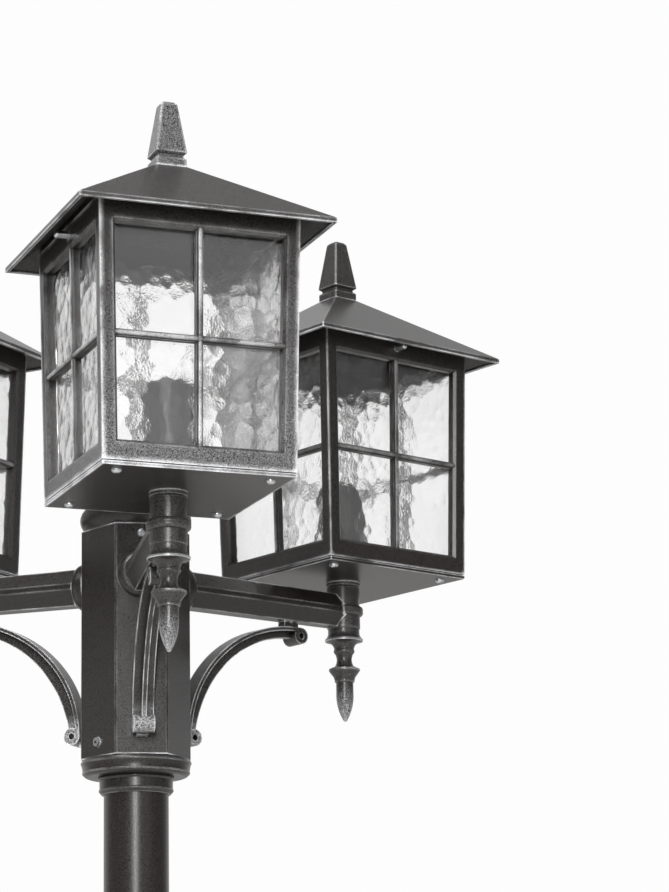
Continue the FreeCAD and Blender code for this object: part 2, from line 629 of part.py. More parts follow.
def corner_clips():
    """Four low angle clips that keep the panes' feet to the walls they lean on, each with a tapped foot."""
    back = FRAME_WALL + PANE_T + 2 * PANE_FIT
    clips = []
    for i in range(4):
        wires = []
        for z in (FRAME_Z, FRAME_Z + CLIP_H):
            c = wall_half(z) - back
            e, t = c - CLIP_LEG, c - CLIP_T
            wires.append(polygon([V(x, y, z) for x, y in
                                  ((c, -c), (e, -c), (e, -t), (t, -t), (t, -e), (c, -e))]))
        strip = Part.makeLoft(wires, True, True)
        s = PLATE_HALF - PLATE_SCREW_IN
        c = wall_half(FRAME_Z) - back - CLIP_T / 2
        foot = box(2 * s - c, c, -c, c - 2 * s, FRAME_Z, FRAME_Z + CLIP_FOOT_H)
        strip = strip.fuse(foot).cut(rod(PLATE_SCREW_D / 2, V(s, -s, FRAME_Z - 1),
                                         V(s, -s, FRAME_Z + CLIP_FOOT_H * 0.7)))
        strip.rotate(O, Z, 90 * i)
        clips.append(strip)
    return Part.makeCompound(clips)


def skirt_half():
    """Half width of the roof's skirt, which drops inside the frame's top."""
    return wall_half(FRAME_TOP_Z - SKIRT_DROP) - FRAME_WALL - SKIRT_GAP


def thumb_screws():
    """Two round ended screws through the side walls that grip the roof's skirt."""
    r = THUMB_D / 2
    tip, end = skirt_half() + SKIRT_GAP, wall_half(THUMB_Z) + THUMB_OUT
    screw = turned([(0, tip), (r, tip), (r, end - 2.2), (r * 0.75, end - 0.7, r * 0.3, end), (0, end)],
                   V(0, 0, THUMB_Z), X, Z)
    other = screw.copy()
    other.rotate(O, Z, 180)
    return Part.makeCompound([screw, other])


def nipple():
    """Hollow threaded nipple with its hexagon, turning in the holder's bore."""
    z0, z1 = PLATE_Z - NIPPLE_DOWN, FRAME_Z + NIPPLE_NUT_T + 8
    body = rod(NIPPLE_R, V(0, 0, z0), V(0, 0, z1))
    body = body.fuse(hexagon(NIPPLE_NUT_AF, V(0, 0, FRAME_Z), Z, NIPPLE_NUT_T))
    return body.cut(rod(NIPPLE_R - 1.5, V(0, 0, z0 - 1), V(0, 0, z1 + 1)))


def lampholder():
    """Round lampholder: skirt over the nut, floor on the nipple, shell pocket."""
    r, top = LAMP_R, LAMP_TOP_Z
    z_nut = FRAME_Z + NIPPLE_NUT_T
    pocket = E27_D / 2 + SHELL_T
    z_seat = top - 2 - E27_DEPTH
    return turned([
        (r - LAMP_WALL, FRAME_Z), (r, FRAME_Z), (r, top - 1.6), (r - 0.5, top - 0.5, r - 1.6, top),
        (pocket, top), (pocket, z_seat), (NIPPLE_R + 1, z_seat), (NIPPLE_R + 1, z_nut + 12),
        (NIPPLE_R, z_nut + 8), (NIPPLE_R, z_nut), (r - LAMP_WALL, z_nut)])


def screw_shell():
    """Screw shell of the lampholder with its closed lower end."""
    r, t, c = E27_D / 2, SHELL_T, CONTACT_H
    z0 = LAMP_TOP_Z - 2 - E27_DEPTH
    return turned([(0, z0), (r + t, z0), (r + t, z0 + E27_DEPTH), (r, z0 + E27_DEPTH), (r, z0 + c),
                   (CONTACT_GROOVE_R, z0 + c), (CONTACT_GROOVE_R, z0 + 2 * t), (CONTACT_R, z0 + 2 * t),
                   (CONTACT_R, z0 + c), (0, z0 + c)])


def roof():
    """Hollow pyramid with a lipped eave, a seating rib and a skirt in the frame."""
    lip_top = EAVE_Z + LIP_H
    slope = (RIDGE_Z - lip_top) / (EAVE_HALF - BLOCK_HALF)
    drop = ROOF_T * math.hypot(1, slope)
    under = lambda half: lip_top + (EAVE_HALF - half) * slope - drop
    h = EAVE_HALF - ROOF_T
    top_z = RIDGE_Z - APEX_T
    top_half = EAVE_HALF - (top_z + drop - lip_top) / slope
    shell = frustum(EAVE_HALF, EAVE_Z, EAVE_HALF, lip_top).fuse(
        frustum(EAVE_HALF, lip_top, BLOCK_HALF, RIDGE_Z))
    shell = shell.cut(frustum(h, EAVE_Z - 1, h, under(h)).fuse(
        frustum(h, under(h), top_half, top_z)))
    s = skirt_half()
    rib = wall_half(FRAME_TOP_Z) - 1
    for half, z0 in ((s, FRAME_TOP_Z - SKIRT_DROP), (rib, FRAME_TOP_Z)):
        ring = frustum(half, z0, half, under(half) + 0.6).cut(
            frustum(half - SKIRT_T, z0 - 1, half - SKIRT_T, RIDGE_Z))
        ring = ring.fuse(frustum(half, under(half), half - SKIRT_T, under(half - SKIRT_T)).cut(
            frustum(half - SKIRT_T, z0 - 1, half - SKIRT_T, RIDGE_Z)))
        shell = shell.fuse(ring)
    return shell.cut(rod(STUD_R, V(0, 0, top_z - 2), V(0, 0, RIDGE_Z + 1))).removeSplitter()


def finial():
    """Square block, groove and tapering obelisk with bevelled edges, on a stud."""
    z1 = RIDGE_Z + BASE_BLOCK_H
    z2 = z1 + GROOVE_H
    z3 = z2 + OBELISK_H
    neck = BLOCK_HALF - GROOVE_IN
    e = OBELISK_EDGE
    stops = [(BLOCK_HALF, RIDGE_Z), (BLOCK_HALF, z1), (neck, z1 + GROOVE_H * 0.3),
             (neck, z2 - GROOVE_H * 0.35), (OBELISK_HALF[0], z2), (OBELISK_HALF[1], z3),
             (OBELISK_HALF[1] - OBELISK_CAP_H, z3 + OBELISK_CAP_H)]
    solid = Part.makeLoft([square(half, z, e) for half, z in stops], True, True)
    return solid.fuse(rod(STUD_R, V(0, 0, RIDGE_Z - STUD_L), V(0, 0, RIDGE_Z + 1)))


def finial_nut():
    z = RIDGE_Z - APEX_T - FINIAL_NUT_T
    nut = hexagon(FINIAL_NUT_AF, V(0, 0, z), Z, FINIAL_NUT_T)
    return nut.cut(rod(STUD_R, V(0, 0, z - 1), V(0, 0, RIDGE_Z)))


def main():
    parts = {
        "base_foot": base_foot(), "base_screws": foot_screws(), "pole_tube": pole_tube(),
        "hub_collar": hub_collar(), "hub_body": hub_body(), "hub_set_screw": hub_set_screw(),
        "hub_cap": hub_cap(), "cap_screws": cap_screws(), "terminal_block": terminal_block(),
        "arm_nuts": arm_nuts(), "brace_pins": brace_pins(),
    }
    for name, solid in (("arm", arm()), ("rosette", rosette()), ("holder", holder()),
                        ("brace", brace())):
        for side, (angle, _) in SIDES.items():
            parts[side + "_" + name] = on_arm(solid, angle)
    lantern = {
        "plate": bottom_plate(), "plate_screws": plate_screws(), "frame": lantern_frame(),
        "panes": panes(), "corner_clips": corner_clips(), "thumb_screws": thumb_screws(),
        "nipple": nipple(), "lampholder": lampholder(), "screw_shell": screw_shell(),
        "roof": roof(), "finial": finial(), "finial_nut": finial_nut(),
    }
    for name, solid in lantern.items():
        for side, (angle, turn) in SIDES.items():
            parts[side + "_" + name] = on_holder(solid, angle, turn)
    os.makedirs("parts", exist_ok=True)
    for name, shape in parts.items():
        if not shape.isValid():
            raise ValueError(name + " is not a valid shape")
        shape.exportStep("parts/" + name + ".step")
        print(name, len(shape.Solids), round(shape.Volume / 1000.0, 1), "cm3")


main()
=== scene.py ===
"""Looks of the triple head lamp post: coated castings, bright screws, rippled panes and a plain studio.

Metres, in the part's own frame: +Z up the pole, the front arm along -Y, the origin on the ground.
"""
import math

import bpy
import numpy as np
from mathutils import Matrix, Vector


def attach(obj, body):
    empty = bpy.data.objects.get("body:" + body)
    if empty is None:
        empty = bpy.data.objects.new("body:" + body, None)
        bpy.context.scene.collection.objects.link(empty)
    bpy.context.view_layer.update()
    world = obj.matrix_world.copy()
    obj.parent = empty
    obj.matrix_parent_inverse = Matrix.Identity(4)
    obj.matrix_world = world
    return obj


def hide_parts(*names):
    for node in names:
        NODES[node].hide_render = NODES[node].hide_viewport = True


bl_info = {
    "name": "Triple Head Lamp Post",
    "version": (1, 0, 0),
    "blender": (4, 5, 0),
    "location": "3D View > Sidebar > Lamp Post",
    "description": "Finishes a braced garden lamp post with three glazed lanterns",
    "category": "Object",
}

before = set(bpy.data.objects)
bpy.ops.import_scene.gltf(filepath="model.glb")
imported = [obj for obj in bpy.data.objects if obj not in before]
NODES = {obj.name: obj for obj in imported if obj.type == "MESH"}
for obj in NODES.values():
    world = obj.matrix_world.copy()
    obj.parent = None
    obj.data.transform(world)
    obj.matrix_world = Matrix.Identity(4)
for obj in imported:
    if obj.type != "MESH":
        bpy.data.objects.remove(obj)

MM = 0.001
HUB_Z = 1.640
ARM_L = 0.255
# azimuth of each arm from -Y toward +X, and each lantern's own turn on its holder, in degrees
SIDES = {"front": (0.0, 11.6), "right": (120.0, -0.4), "left": (-120.0, -8.2)}
FRAME_Z = 200.2 * MM      # foot of the leaning walls above the hub's underside
WALL_HALF = 85.8 * MM     # lantern axis to a wall's foot
WALL_LEAN = math.atan(0.0213)
PANE_IN = 9.1 * MM        # pane's outer face behind the wall's face
PANE_T = 2.5 * MM
PANE_Z = (0.1 * MM, 210.85 * MM)
PANE_HALF = (74.0 * MM, 78.49 * MM)
ACROSS, UP = 124, 172     # cells of a pane's rippled face
ROW = 0.87                # distance between the rows of the domes' grid, in pitches
JITTER = 0.34             # how far a dome strays from that grid, in pitches
DOME = 0.65               # from a dome's crown to where it has fallen by its height, in pitches
SHARP = 9.0               # how sharply domes meet
TALLEST = 1.7             # what domes and waves together hardly pass, in domes' heights
LONG_WAVES = (97, 31, 58)    # radians per metre: across the pane, of that wave's sway, and up the pane

BRUSH = 25 * MM           # width of the brush that left the silver
FREE_AIR = 7 * MM         # how far out of a spot its recess is felt for

# name, azimuth from the front toward the right, elevation, distance, width, height, watts
SOFTBOXES = (
    ("high_softbox", -42, 52, 3.0, 1.3, 1.3, 70),
    ("strip_softbox", -10, 8, 3.1, 0.35, 1.6, 64),
    ("right_softbox", 32, 17, 3.6, 1.9, 1.9, 10),
)
AIM = Vector((0, -0.1, 1.85))               # what the softboxes point at
CAMERA_AT = (-0.3016, -2.7348, 1.2600)      # 2.8 m from the hub, below the lanterns, looking up at them
CAMERA_TURN = (10.228, 13.843, -1.019)      # yaw to the right, pitch up and roll, in degrees
FLOOR_RADIUS, FLOOR_CORNERS = 30.0, 96
FILL = 0.8                                  # share of the backdrop's white that fills the shade


def linear(code):
    """Linear colour of an sRGB hex code."""
    values = [int(code[i:i + 2], 16) / 255 for i in (1, 3, 5)]
    return tuple(v / 12.92 if v <= 0.04045 else ((v + 0.055) / 1.055) ** 2.4 for v in values)


def add(tree, kind, inputs=None, **settings):
    """Adds a node, with its settings, and its inputs set or linked."""
    made = tree.nodes.new(kind)
    for key, value in settings.items():
        setattr(made, key, value)
    for key, value in (inputs or {}).items():
        if isinstance(value, bpy.types.NodeSocket):
            tree.links.new(value, made.inputs[key])
        else:
            made.inputs[key].default_value = value
    return made


def new_material(name):
    """An empty node material with its shader and output joined."""
    material = bpy.data.materials.new(name)
    material.use_nodes = True
    tree = material.node_tree
    tree.nodes.clear()
    shader = tree.nodes.new("ShaderNodeBsdfPrincipled")
    output = tree.nodes.new("ShaderNodeOutputMaterial")
    tree.links.new(shader.outputs[0], output.inputs[0])
    return material, tree, shader


def wear(nodes, material):
    """Gives each of these nodes the material."""
    for name in nodes:
        slots = NODES[name].data.materials
        slots.clear()
        slots.append(material)


def each_side(*names):
    """Names of these pieces on all three sides."""
    return [side + "_" + name for side in SIDES for name in names]


class LampPostCoat(bpy.types.PropertyGroup):
    """Hammered black coating with silver dry-brushed on its edges."""
    black: bpy.props.FloatVectorProperty(
        name="Black", description="Colour of the coating between its grains", subtype="COLOR",
        default=linear("#0d0a08"), size=3, min=0, max=1)
    grey: bpy.props.FloatVectorProperty(
        name="Grey", description="Colour of the coating's paler grains", subtype="COLOR",
        default=linear("#1b1511"), size=3, min=0, max=1)
    silver: bpy.props.FloatVectorProperty(
        name="Silver", description="Colour of the dry-brushed edges", subtype="COLOR",
        default=linear("#f4f5f7"), size=3, min=0, max=1)
    grain: bpy.props.FloatProperty(
        name="Grain", description="Pitch of the hammered grain", subtype="DISTANCE", unit="LENGTH",
        default=0.9 * MM, min=0.0002, max=0.02)
    roughness: bpy.props.FloatProperty(
        name="Roughness", description="Roughness of the coating", subtype="FACTOR", default=0.32,
        min=0, max=1)


class LampPostGlass(bpy.types.PropertyGroup):
    """Clear glass with a rippled surface."""
    tint: bpy.props.FloatVectorProperty(
        name="Tint", description="Colour that the glass takes from light", subtype="COLOR",
        default=linear("#fefefe"), size=3, min=0, max=1)
    wave: bpy.props.FloatProperty(
        name="Ripple", description="Height of the domes on the rolled face", subtype="DISTANCE",
        unit="LENGTH", default=1.0 * MM, min=0, max=1.2 * MM)
    pitch: bpy.props.FloatProperty(
        name="Pitch", description="Distance between domes", subtype="DISTANCE", unit="LENGTH",
        default=13 * MM, min=0.008, max=0.05)


class LampPostStage(bpy.types.PropertyGroup):
    """Floor, light and camera."""
    floor: bpy.props.FloatVectorProperty(
        name="Floor", description="Colour of the floor", subtype="COLOR", default=linear("#dddcda"),
        size=3, min=0, max=1)
    sky: bpy.props.FloatVectorProperty(
        name="Backdrop", description="Colour of the backdrop", subtype="COLOR", default=linear("#fdfdfd"),
        size=3, min=0, max=1)
    room: bpy.props.FloatVectorProperty(
        name="Room", description="Colour of the dimmer room that the coating reflects", subtype="COLOR",
        default=linear("#7c7a79"), size=3, min=0, max=1)
    lens: bpy.props.FloatProperty(
        name="Lens", description="Focal length of the camera", subtype="DISTANCE_CAMERA", unit="CAMERA",
        default=120.11, min=10, max=500)


def outward(tree, place, side):
    """Share of the silver that a spot keeps for facing out of its lantern's wall, from 0.12 to 1.

    The spot's distance from the lantern's axis and its normal are turned back by the lantern's turn. The
    wall is the one on the side that the spot is farthest out on, and the normal's part that way says how
    squarely the spot faces out: 1 on the wall's face and on its bars' crests. Above 0.97 the silver is
    whole, and below 0.6 an eighth of it is left. The silver kept on the crests is partly a painted
    highlight: a bright line along each bar where the lights would shine.
    """
    arm, turn = (math.radians(a) for a in SIDES[side])
    axis = (math.sin(arm) * ARM_L, -math.cos(arm) * ARM_L, 0)
    apart = add(tree, "ShaderNodeVectorMath", {0: place, 1: axis}, operation="SUBTRACT").outputs[0]
    normal = add(tree, "ShaderNodeTexCoord").outputs["Normal"]
    spot, way = (add(tree, "ShaderNodeSeparateXYZ", {"Vector": add(
        tree, "ShaderNodeVectorRotate", {"Vector": vector, "Angle": -arm - turn}, rotation_type="Z_AXIS"
    ).outputs[0]}).outputs for vector in (apart, normal))
    far, out = [], []
    for name in "XY":
        far.append(add(tree, "ShaderNodeMath", {0: spot[name]}, operation="ABSOLUTE").outputs[0])
        sign = add(tree, "ShaderNodeMath", {0: spot[name]}, operation="SIGN").outputs[0]
        out.append(add(tree, "ShaderNodeMath", {0: sign, 1: way[name]}, operation="MULTIPLY").outputs[0])
    front = add(tree, "ShaderNodeMath", {0: far[1], 1: far[0]}, operation="GREATER_THAN").outputs[0]
    faces = add(tree, "ShaderNodeMix", {"Factor": front, "A": out[0], "B": out[1]}, data_type="FLOAT"
                ).outputs["Result"]
    return add(tree, "ShaderNodeMapRange", {"Value": faces, "From Min": 0.6, "From Max": 0.97,
                                            "To Min": 0.12, "To Max": 1.0}).outputs[0]


def hammered_coat(name, reach, thin, brush_and_sheen, low=None, proud=(0.45, 0.8), lantern=None):
    """Metal under a black hammered coating, silver dry-brushed where a dry brush catches.

    The eye sees a satin, slightly warm black with fine paler grains, silver that is dense on outer edges
    and thins out in grains beside them, and none in a recess. The silver's share is the edges' plus the
    flats', at most 1. The edges' is how thin the metal is there, times the brush's patches, times how
    free the spot stands, times the grain. The flats' is the grain's tops, times how free the spot stands.

    reach is how deep in millimetres the metal behind a spot is felt for, and thin the two shares of it,
    at which the silver starts and is full: a flat's is 1, a square edge's 0.5. brush_and_sheen is the
    flats'
    share on the highest grain: brushed silver, and on the front lantern's frame and finial partly a painted
    sheen of the lights they face. low, two heights in metres, leaves it whole at the first and a tenth at
    the second. proud is how open a spot must be before the brush touches it at all, and fully: 1 stands
    free. lantern, a side's name, keeps the brush to what faces out of that lantern's walls, and so partly
    paints a highlight along the bars' crests.
    """
    look = bpy.context.scene.lamp_post_coat
    material, tree, shader = new_material(name)
    place = add(tree, "ShaderNodeTexCoord").outputs["Object"]
    grain = add(tree, "ShaderNodeTexNoise", {"Vector": place, "Scale": 1 / look.grain, "Detail": 2.0,
                                             "Roughness": 0.6}).outputs["Fac"]
    # patches as wide as the brush, where it carried more or less
    patch = add(tree, "ShaderNodeTexNoise", {"Vector": place, "Scale": 1 / BRUSH, "Detail": 2.0}
                ).outputs["Fac"]
    uneven = add(tree, "ShaderNodeMapRange", {"Value": patch, "From Min": 0.33, "From Max": 0.68,
                                              "To Min": 0.2, "To Max": 1.8}).outputs[0]
    # how thick the metal is: the share of rays into it that don't meet its far side
    inner = add(tree, "ShaderNodeAmbientOcclusion", {"Distance": reach * MM}, inside=True, only_local=True,
                samples=4).outputs["AO"]
    edge = add(tree, "ShaderNodeMapRange", {"Value": inner, "From Min": thin[0], "From Max": thin[1],
                                            "To Min": 0.0, "To Max": 1.0}, interpolation_type="SMOOTHSTEP"
               ).outputs[0]
    # how free the spot stands: the share of rays from it that meet nothing near
    outer = add(tree, "ShaderNodeAmbientOcclusion", {"Distance": FREE_AIR}, only_local=True, samples=4
                ).outputs["AO"]
    free = add(tree, "ShaderNodeMapRange", {"Value": outer, "From Min": proud[0], "From Max": proud[1],
                                            "To Min": 0.0, "To Max": 1.0}).outputs[0]
    if lantern:
        # silver kept to what faces out of the lantern's walls: on the bars' crests partly a painted
        # highlight
        free = add(tree, "ShaderNodeMath", {0: free, 1: outward(tree, place, lantern)}, operation="MULTIPLY"
                   ).outputs[0]
    edge = add(tree, "ShaderNodeMath", {0: edge, 1: uneven}, operation="MULTIPLY").outputs[0]
    edge = add(tree, "ShaderNodeMath", {0: edge, 1: free}, operation="MULTIPLY").outputs[0]
    tone = add(tree, "ShaderNodeMapRange", {"Value": grain, "From Min": 0.35, "From Max": 0.65,
                                            "To Min": 0.0, "To Max": 1.0}).outputs[0]
    caught = add(tree, "ShaderNodeMath", {0: tone, 1: 0.8, 2: 0.45}, operation="MULTIPLY_ADD").outputs[0]
    beside = add(tree, "ShaderNodeMath", {0: caught, 1: edge}, operation="MULTIPLY").outputs[0]
    speck = add(tree, "ShaderNodeMapRange", {"Value": grain, "From Min": 0.4, "From Max": 0.72,
                                             # the flats' specks: brushed silver, on the front lantern's
                                             # frame and finial partly a painted sheen
                                             "To Min": 0.0, "To Max": brush_and_sheen}).outputs[0]
    flats = add(tree, "ShaderNodeMath", {0: speck, 1: free}, operation="MULTIPLY").outputs[0]
    if low:
        height = add(tree, "ShaderNodeSeparateXYZ", {"Vector": place}).outputs["Z"]
        fade = add(tree, "ShaderNodeMapRange", {"Value": height, "From Min": low[0], "From Max": low[1],
                                                "To Min": 1.0, "To Max": 0.1}).outputs[0]
        flats = add(tree, "ShaderNodeMath", {0: flats, 1: fade}, operation="MULTIPLY").outputs[0]
    silver = add(tree, "ShaderNodeMath", {0: flats, 1: beside}, operation="ADD", use_clamp=True).outputs[0]
    coat = add(tree, "ShaderNodeMix", {"Factor": tone, "A": (*look.black, 1), "B": (*look.grey, 1)},
               data_type="RGBA").outputs["Result"]
    colour = add(tree, "ShaderNodeMix", {"Factor": silver, "A": coat, "B": (*look.silver, 1)},
                 data_type="RGBA").outputs["Result"]
    # the paler grains are a little duller
    rough = add(tree, "ShaderNodeMapRange", {"Value": tone, "From Min": 0.0, "From Max": 1.0,
                                             "To Min": look.roughness - 0.06,
                                             "To Max": look.roughness + 0.08}).outputs[0]
    bump = add(tree, "ShaderNodeBump", {"Height": grain, "Strength": 0.35, "Distance": 0.1 * MM}).outputs[0]
    # the dry silver is pigment in a dull binder, so only a fifth of it shines as metal
    metal = add(tree, "ShaderNodeMath", {0: silver, 1: 0.2}, operation="MULTIPLY").outputs[0]
    for socket, value in (("Base Color", colour), ("Metallic", metal), ("Roughness", rough),
                          ("Normal", bump)):
        tree.links.new(value, shader.inputs[socket])
    return material


def bright_zinc():
    """Bright zinc plated steel: pale, faintly blue, with soft streaks 0.3 mm wide from its turning."""
    material, tree, shader = new_material("bright_zinc_plated_steel")
    place = add(tree, "ShaderNodeTexCoord").outputs["Object"]
    streak = add(tree, "ShaderNodeTexNoise", {"Vector": place, "Scale": 1 / (0.9 * MM), "Detail": 2.0}
                 ).outputs["Fac"]
    colour = add(tree, "ShaderNodeMix", {"Factor": streak, "A": (*linear("#a9abae"), 1),
                                         "B": (*linear("#dfe1e4"), 1)}, data_type="RGBA").outputs["Result"]
    rough = add(tree, "ShaderNodeMapRange", {"Value": streak, "To Min": 0.2, "To Max": 0.4}).outputs[0]
    tree.links.new(colour, shader.inputs["Base Color"])
    tree.links.new(rough, shader.inputs["Roughness"])
    shader.inputs["Metallic"].default_value = 1.0
    return material


def rippled_glass():
    """Clear rolled glass, its domes in the mesh: IOR 1.52, the faintest grey tint.

    The eye sees shapes behind it broken into soft scallops, and their edges crinkled by the roller's fine
    tooth, 2 mm wide, whose smallest part stands in the roughness.
    """
    look = bpy.context.scene.lamp_post_glass
    material, tree, shader = new_material("clear_rolled_glass")
    place = add(tree, "ShaderNodeTexCoord").outputs["Object"]
    tooth = add(tree, "ShaderNodeTexNoise", {"Vector": place, "Scale": 1 / (2 * MM), "Detail": 1.0}
                ).outputs["Fac"]
    bump = add(tree, "ShaderNodeBump", {"Height": tooth, "Strength": 1.0, "Distance": 0.14 * MM}).outputs[0]
    tree.links.new(bump, shader.inputs["Normal"])
    for socket, value in (("Base Color", (*look.tint, 1)), ("Roughness", 0.12), ("IOR", 1.52),
                          ("Transmission Weight", 1.0)):
        shader.inputs[socket].default_value = value
    return material


def moulded_phenolic():
    """Black moulded phenolic: smooth, glossy, with a faint mottle 4 mm wide."""
    material, tree, shader = new_material("black_moulded_phenolic")
    place = add(tree, "ShaderNodeTexCoord").outputs["Object"]
    mottle = add(tree, "ShaderNodeTexNoise", {"Vector": place, "Scale": 1 / (4 * MM), "Detail": 3.0}
                 ).outputs["Fac"]
    colour = add(tree, "ShaderNodeMix", {"Factor": mottle, "A": (*linear("#1c1a1a"), 1),
                                         "B": (*linear("#333030"), 1)}, data_type="RGBA").outputs["Result"]
    tree.links.new(colour, shader.inputs["Base Color"])
    shader.inputs["Roughness"].default_value = 0.3
    return material


def drawn_brass():
    """Bare drawn brass, a little dull, with tarnish in patches 5 mm wide."""
    material, tree, shader = new_material("bare_drawn_brass")
    place = add(tree, "ShaderNodeTexCoord").outputs["Object"]
    tarnish = add(tree, "ShaderNodeTexNoise", {"Vector": place, "Scale": 1 / (5 * MM), "Detail": 3.0}
                  ).outputs["Fac"]
    colour = add(tree, "ShaderNodeMix", {"Factor": tarnish, "A": (*linear("#c9a75c"), 1),
                                         "B": (*linear("#8d7440"), 1)}, data_type="RGBA").outputs["Result"]
    rough = add(tree, "ShaderNodeMapRange", {"Value": tarnish, "To Min": 0.2, "To Max": 0.45}).outputs[0]
    tree.links.new(colour, shader.inputs["Base Color"])
    tree.links.new(rough, shader.inputs["Roughness"])
    shader.inputs["Metallic"].default_value = 1.0
    return material


def moulded_nylon():
    """Off-white moulded nylon: waxy, with a faint flow mottle 6 mm wide."""
    material, tree, shader = new_material("white_moulded_nylon")
    place = add(tree, "ShaderNodeTexCoord").outputs["Object"]
    flow = add(tree, "ShaderNodeTexNoise", {"Vector": place, "Scale": 1 / (6 * MM), "Detail": 2.0}
               ).outputs["Fac"]
    colour = add(tree, "ShaderNodeMix", {"Factor": flow, "A": (*linear("#e8e5dc"), 1),
                                         "B": (*linear("#d9d5c8"), 1)}, data_type="RGBA").outputs["Result"]
    tree.links.new(colour, shader.inputs["Base Color"])
    shader.inputs["Roughness"].default_value = 0.5
    shader.inputs["Subsurface Weight"].default_value = 0.1
    shader.inputs["Subsurface Radius"].default_value = (0.002, 0.002, 0.002)
    return material


def ripple(x, z, height, pitch, seed):
    """Height of the rolled face above its lowest, from 0 to about height.

    The roller left shallow domes side by side: each stands at a jittered place of a triangular grid, and
    falls off from its crown with the square of the distance. The face is the smooth greatest of them all,
    so creases run between domes. A long wave across the pane, which sways on its way up, and a longer one
    up the pane lift and lower them.
    """
    random = np.random.default_rng(seed)
    # enough domes for a pane at a pitch of 13 mm and more
    row, column = np.meshgrid(np.arange(-9, 10), np.arange(-2, 19))
    place = np.stack([(row + 0.5 * (column % 2)) * pitch, column * pitch * ROW], -1).reshape(-1, 2)
    place = place + random.uniform(-JITTER, JITTER, place.shape) * pitch
    size = random.uniform(0.8, 1.25, len(place)) * pitch * DOME
    crown = random.uniform(-0.25, 0.25, len(place))
    apart = (x.reshape(-1, 1) - place[:, 0]) ** 2 + (z.reshape(-1, 1) - place[:, 1]) ** 2
    dome = 1 + crown - apart / size ** 2
    face = np.log(np.exp(SHARP * np.maximum(dome, -2)).sum(1)) / SHARP
    across, sway, up = LONG_WAVES
    wave = 0.25 * np.sin(x * across + 1.7 * seed + 1.5 * np.sin(z * sway + seed))
    wave = wave + 0.15 * np.sin(z * up + 2.3 * seed)
    return height * np.clip((face.reshape(x.shape) + wave) / TALLEST, 0, 1)


def pane_mesh(height, pitch, seed):
    """Points and faces of one pane, closed, in its wall's frame (x across, y inward, z up the wall).

    The outer face is a grid: x runs from -w to w, where w grows evenly with z as the wall does, and z
    runs from the pane's foot to its top. Its depth is the pane's face plus its ripple, into the glass.
    The inner face is flat.
    """
    u, v = np.meshgrid(np.linspace(-1, 1, ACROSS + 1), np.linspace(0, 1, UP + 1))
    z = PANE_Z[0] + v * (PANE_Z[1] - PANE_Z[0])
    x = u * (PANE_HALF[0] + v * (PANE_HALF[1] - PANE_HALF[0]))
    depth = PANE_IN + height - ripple(x, z, height, pitch, seed)
    outer = np.stack([x, depth, z], -1).reshape(-1, 3)
    index = np.arange(x.size).reshape(x.shape)
    a, b, c, d = index[:-1, :-1], index[:-1, 1:], index[1:, 1:], index[1:, :-1]
    quads = np.stack([a, b, c, d], -1).reshape(-1, 4).tolist()
    rim = np.concatenate([index[0, :], index[1:, -1], index[-1, -2::-1], index[-2:0:-1, 0]])
    inner = outer[rim]
    inner[:, 1] = PANE_IN + PANE_T
    under = np.arange(len(rim)) + x.size
    edge = np.stack([rim, under, np.roll(under, -1), np.roll(rim, -1)], -1).tolist()
    return np.concatenate([outer, inner]), quads + edge + [under[::-1].tolist()]


def onto_wall(points, wall, side):
    """From a wall's frame into the part's: lean it outward, stand it at the wall's foot, turn it to its
    side of the lantern, then turn and move it with the lantern."""
    arm, turn = (math.radians(a) for a in SIDES[side])
    lean = Matrix.Translation((0, -WALL_HALF, FRAME_Z)) @ Matrix.Rotation(WALL_LEAN, 4, "X")
    spot = Matrix.Translation((math.sin(arm) * ARM_L, -math.cos(arm) * ARM_L, HUB_Z))
    quarter = Matrix.Rotation(math.radians(90 * wall), 4, "Z")
    m = np.array(spot @ Matrix.Rotation(arm + turn, 4, "Z") @ quarter @ lean)
    return points @ m[:3, :3].T + m[:3, 3]


def new_piece(name, points, faces, material, body):
    """A smooth shaded mesh object that rides on a body."""
    mesh = bpy.data.meshes.new(name)
    mesh.from_pydata(points.tolist(), [], faces)
    mesh.polygons.foreach_set("use_smooth", np.ones(len(faces), bool))
    mesh.set_sharp_from_angle(angle=math.radians(40))
    mesh.materials.append(material)
    mesh.update()
    piece = bpy.data.objects.new(name, mesh)
    bpy.context.scene.collection.objects.link(piece)
    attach(piece, body)
    return piece


class LAMP_POST_OT_coat_post(bpy.types.Operator):
    """Coat the foot, the tube, the collar, the hub and its cap"""
    bl_idname = "lamp_post.coat_post"
    bl_label = "Post"

    def execute(self, context):
        wear(["base_foot", "hub_collar", "hub_cap"],
             hammered_coat("hammered_black_turned", reach=2.0, thin=(0.8, 0.58), brush_and_sheen=0.03))
        wear(["hub_body"], hammered_coat("hammered_black_hub", reach=1.6, thin=(0.84, 0.6), brush_and_sheen=0.03))
        wear(["pole_tube"], hammered_coat("hammered_black_tube", reach=1.2, thin=(0.9, 0.6), brush_and_sheen=0.02))
        return {"FINISHED"}


class LAMP_POST_OT_coat_arms(bpy.types.Operator):
    """Coat the arms, their rosettes, braces and turned holders"""
    bl_idname = "lamp_post.coat_arms"
    bl_label = "Arms"

    def execute(self, context):
        wear(each_side("arm", "rosette"),
             hammered_coat("hammered_black_arms", reach=1.8, thin=(0.84, 0.64), brush_and_sheen=0.02))
        # silver all over a brace's lower lug, and over a holder's bullet
        wear(each_side("brace"),
             hammered_coat("hammered_black_braces", reach=2.4, thin=(0.76, 0.56), brush_and_sheen=0.7,
                           low=(HUB_Z + 30 * MM, HUB_Z + 46 * MM)))
        wear(each_side("holder"),
             hammered_coat("hammered_black_holders", reach=2.4, thin=(0.8, 0.56), brush_and_sheen=0.8,
                           low=(HUB_Z + 58 * MM, HUB_Z + 92 * MM)))
        return {"FINISHED"}


